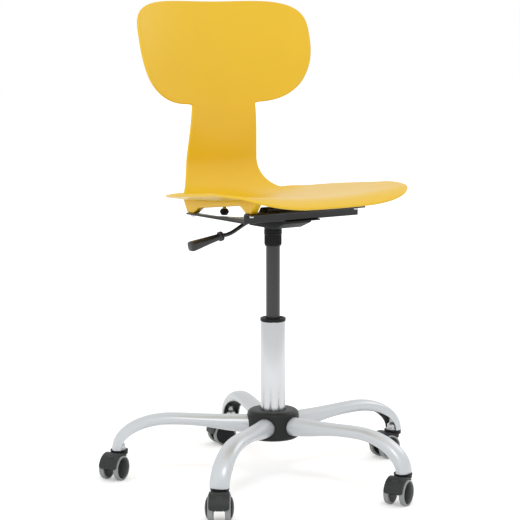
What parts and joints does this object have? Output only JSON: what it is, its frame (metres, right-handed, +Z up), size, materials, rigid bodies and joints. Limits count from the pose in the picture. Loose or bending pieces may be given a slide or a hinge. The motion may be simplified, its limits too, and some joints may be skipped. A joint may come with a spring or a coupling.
{
  "type": "swivel chair",
  "caption": "Swivel task chair: one-piece plastic seat and back on a gas lift with a release lever, over a star base with hooded twin-wheel casters.",
  "frame": {"origin": "on the floor, under the middle of the chair's bounding box; the column's axis stands at x = -12.1 mm, y = 4.3 mm", "axes": "+Z up along the column; the sitter faces -Y, and the sitter's right is -X"},
  "size_m": [0.6317, 0.661, 0.9554],
  "materials": {
    "yellow_plastic": "satin moulded polypropylene",
    "silver_paint": "silver powder coat",
    "chrome": "polished",
    "black_steel": "black powder coat",
    "black_plastic": "fine texture",
    "plain_steel": "zinc plated",
    "grey_tread": "soft tread",
    "black_rubber": "matt"
  },
  "bodies": {
    "base": {"hub_core": "plain_steel", "hub_cover": "black_plastic", "base_arm_1": "silver_paint", "base_arm_2": "silver_paint", "base_arm_3": "silver_paint", "base_arm_4": "silver_paint", "base_arm_5": "silver_paint", "column_tube": "chrome", "guide_bush": "black_plastic", "thrust_bearing": "plain_steel"},
    "spindle": {"piston_rod": "plain_steel"},
    "seat": {"gas_cylinder": "black_steel", "column_collar": "black_plastic", "mechanism_housing": "black_steel", "seat_plate": "black_steel", "seat_buffer_right": "black_rubber", "seat_buffer_left": "black_rubber", "seat_shell": "yellow_plastic", "seat_screw_1": "plain_steel", "seat_screw_2": "plain_steel", "seat_screw_3": "plain_steel", "seat_screw_4": "plain_steel"},
    "valve": {"valve_pin": "plain_steel"},
    "lever": {"lever_rod": "black_steel", "lever_handle": "black_plastic"},
    "caster_1": {"caster_1_body": "black_plastic", "caster_1_stem": "plain_steel", "caster_1_axle": "plain_steel"},
    "caster_1_left": {"caster_1_wheel_left": "black_plastic", "caster_1_tyre_left": "grey_tread"},
    "caster_1_right": {"caster_1_wheel_right": "black_plastic", "caster_1_tyre_right": "grey_tread"},
    "caster_2": {"caster_2_body": "black_plastic", "caster_2_stem": "plain_steel", "caster_2_axle": "plain_steel"},
    "caster_2_left": {"caster_2_wheel_left": "black_plastic", "caster_2_tyre_left": "grey_tread"},
    "caster_2_right": {"caster_2_wheel_right": "black_plastic", "caster_2_tyre_right": "grey_tread"},
    "caster_3": {"caster_3_body": "black_plastic", "caster_3_stem": "plain_steel", "caster_3_axle": "plain_steel"},
    "caster_3_left": {"caster_3_wheel_left": "black_plastic", "caster_3_tyre_left": "grey_tread"},
    "caster_3_right": {"caster_3_wheel_right": "black_plastic", "caster_3_tyre_right": "grey_tread"},
    "caster_4": {"caster_4_body": "black_plastic", "caster_4_stem": "plain_steel", "caster_4_axle": "plain_steel"},
    "caster_4_left": {"caster_4_wheel_left": "black_plastic", "caster_4_tyre_left": "grey_tread"},
    "caster_4_right": {"caster_4_wheel_right": "black_plastic", "caster_4_tyre_right": "grey_tread"},
    "caster_5": {"caster_5_body": "black_plastic", "caster_5_stem": "plain_steel", "caster_5_axle": "plain_steel"},
    "caster_5_left": {"caster_5_wheel_left": "black_plastic", "caster_5_tyre_left": "grey_tread"},
    "caster_5_right": {"caster_5_wheel_right": "black_plastic", "caster_5_tyre_right": "grey_tread"}
  },
  "joints": [
    {"name": "seat_swivel", "type": "hinge", "parent": "base", "child": "spindle", "pos_m": [-0.0121, 0.0043, 0.1], "axis": [0, 0, 1], "continuous": true},
    {"name": "gas_lift", "type": "slide", "parent": "spindle", "child": "seat", "axis": [0, 0, 1], "range_m": [-0.13, 0]},
    {"name": "lever_tilt", "type": "hinge", "parent": "seat", "child": "lever", "pos_m": [-0.0421, 0.0043, 0.5251], "axis": [0, 1, 0], "range_deg": [0, 7], "stiffness_Nm_per_rad": 2, "springref_deg": -5.73},
    {"name": "valve_press", "type": "slide", "parent": "seat", "child": "valve", "axis": [0, 0, -1], "range_m": [0, 0.0045]},
    {"name": "caster_1_swivel", "type": "hinge", "parent": "base", "child": "caster_1", "pos_m": [0.2979, 0.0043, 0.06], "axis": [0, 0, 1], "continuous": true},
    {"name": "caster_1_spin_left", "type": "hinge", "parent": "caster_1", "child": "caster_1_left", "pos_m": [0.27741, 0.00502, 0.025], "axis": [-0.0349, -0.9994, 0], "continuous": true},
    {"name": "caster_1_spin_right", "type": "hinge", "parent": "caster_1", "child": "caster_1_right", "pos_m": [0.27741, 0.00502, 0.025], "axis": [-0.0349, -0.9994, 0], "continuous": true},
    {"name": "caster_2_swivel", "type": "hinge", "parent": "base", "child": "caster_2", "pos_m": [0.0837, 0.29913, 0.06], "axis": [0, 0, 1], "continuous": true},
    {"name": "caster_2_spin_left", "type": "hinge", "parent": "caster_2", "child": "caster_2_left", "pos_m": [0.06351, 0.30269, 0.025], "axis": [-0.1736, -0.9848, 0], "continuous": true},
    {"name": "caster_2_spin_right", "type": "hinge", "parent": "caster_2", "child": "caster_2_right", "pos_m": [0.06351, 0.30269, 0.025], "axis": [-0.1736, -0.9848, 0], "continuous": true},
    {"name": "caster_3_swivel", "type": "hinge", "parent": "base", "child": "caster_3", "pos_m": [-0.2629, 0.18651, 0.06], "axis": [0, 0, 1], "continuous": true},
    {"name": "caster_3_spin_left", "type": "hinge", "parent": "caster_3", "child": "caster_3_left", "pos_m": [-0.28082, 0.17657, 0.025], "axis": [0.4848, -0.8746, 0], "continuous": true},
    {"name": "caster_3_spin_right", "type": "hinge", "parent": "caster_3", "child": "caster_3_right", "pos_m": [-0.28082, 0.17657, 0.025], "axis": [0.4848, -0.8746, 0], "continuous": true},
    {"name": "caster_4_swivel", "type": "hinge", "parent": "base", "child": "caster_4", "pos_m": [-0.2629, -0.17791, 0.06], "axis": [0, 0, 1], "continuous": true},
    {"name": "caster_4_spin_left", "type": "hinge", "parent": "caster_4", "child": "caster_4_left", "pos_m": [-0.27494, -0.1945, 0.025], "axis": [0.809, -0.5878, 0], "continuous": true},
    {"name": "caster_4_spin_right", "type": "hinge", "parent": "caster_4", "child": "caster_4_right", "pos_m": [-0.27494, -0.1945, 0.025], "axis": [0.809, -0.5878, 0], "continuous": true},
    {"name": "caster_5_swivel", "type": "hinge", "parent": "base", "child": "caster_5", "pos_m": [0.0837, -0.29053, 0.06], "axis": [0, 0, 1], "continuous": true},
    {"name": "caster_5_spin_left", "type": "hinge", "parent": "caster_5", "child": "caster_5_left", "pos_m": [0.06543, -0.29983, 0.025], "axis": [0.454, -0.891, 0], "continuous": true},
    {"name": "caster_5_spin_right", "type": "hinge", "parent": "caster_5", "child": "caster_5_right", "pos_m": [0.06543, -0.29983, 0.025], "axis": [0.454, -0.891, 0], "continuous": true}
  ],
  "couplings": [
    {"joint": "valve_press", "follows": "lever_tilt", "m_per_rad": 0.03}
  ]
}
